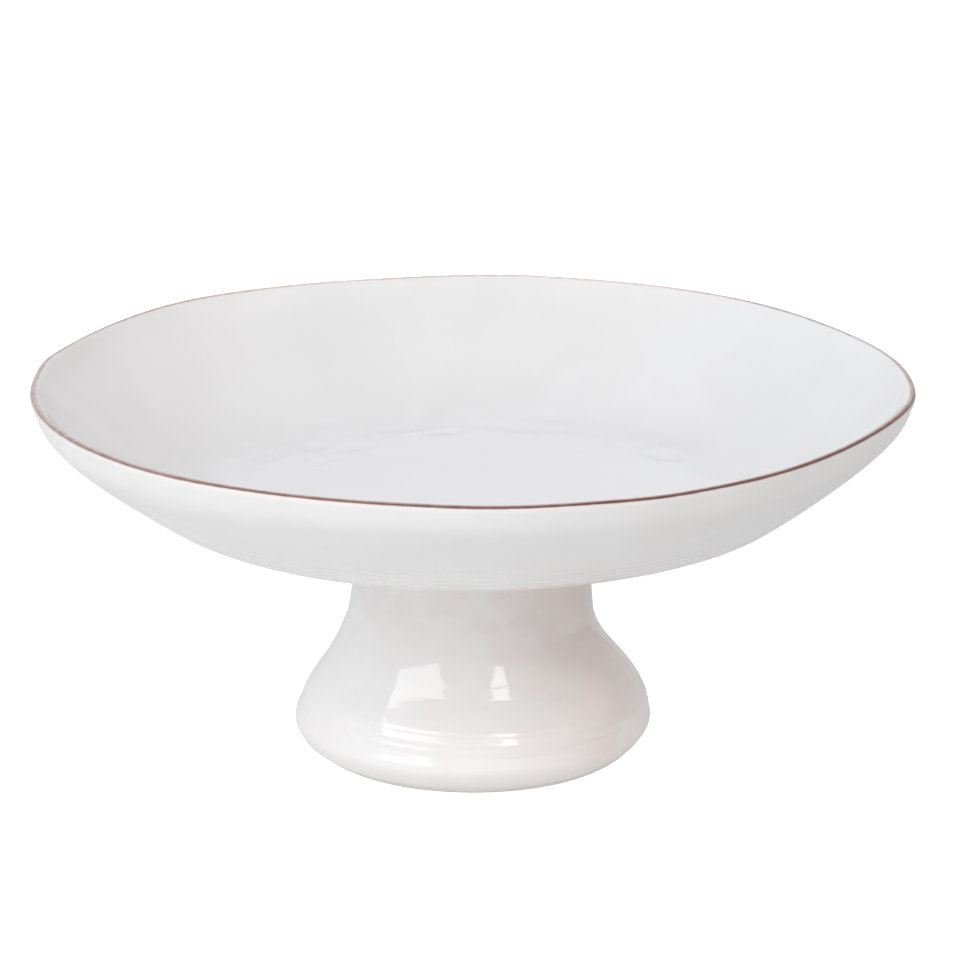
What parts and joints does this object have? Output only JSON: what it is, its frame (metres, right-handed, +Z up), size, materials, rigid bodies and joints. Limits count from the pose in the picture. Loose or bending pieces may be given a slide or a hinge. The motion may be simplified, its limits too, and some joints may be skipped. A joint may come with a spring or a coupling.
{
  "type": "cake stand",
  "caption": "Round footed cake stand: a shallow flared dish with a flat floor on a hollow bell-shaped foot, in glossy white glaze with a thin brown lip.",
  "frame": {"origin": "middle of the ring that the stand rests on", "axes": "+Z up through the middle of the foot and the dish; -Y towards the viewer"},
  "size_m": [0.305, 0.3058, 0.1323],
  "materials": {
    "white_glaze": "glossy white glaze over a hand-worked surface",
    "foot_glaze": "glossy white glaze, slightly warmer where it lies thin on the foot; bare clay on the standing ring",
    "clay_slip": "smoothed luting slip under the glaze",
    "brown_lip": "satin brown line, broken and paler where the glaze runs over it"
  },
  "bodies": {
    "root": {"dish": "white_glaze", "pedestal_foot": "foot_glaze", "slip_joint": "clay_slip", "rim_band": "brown_lip"}
  },
  "joints": []
}
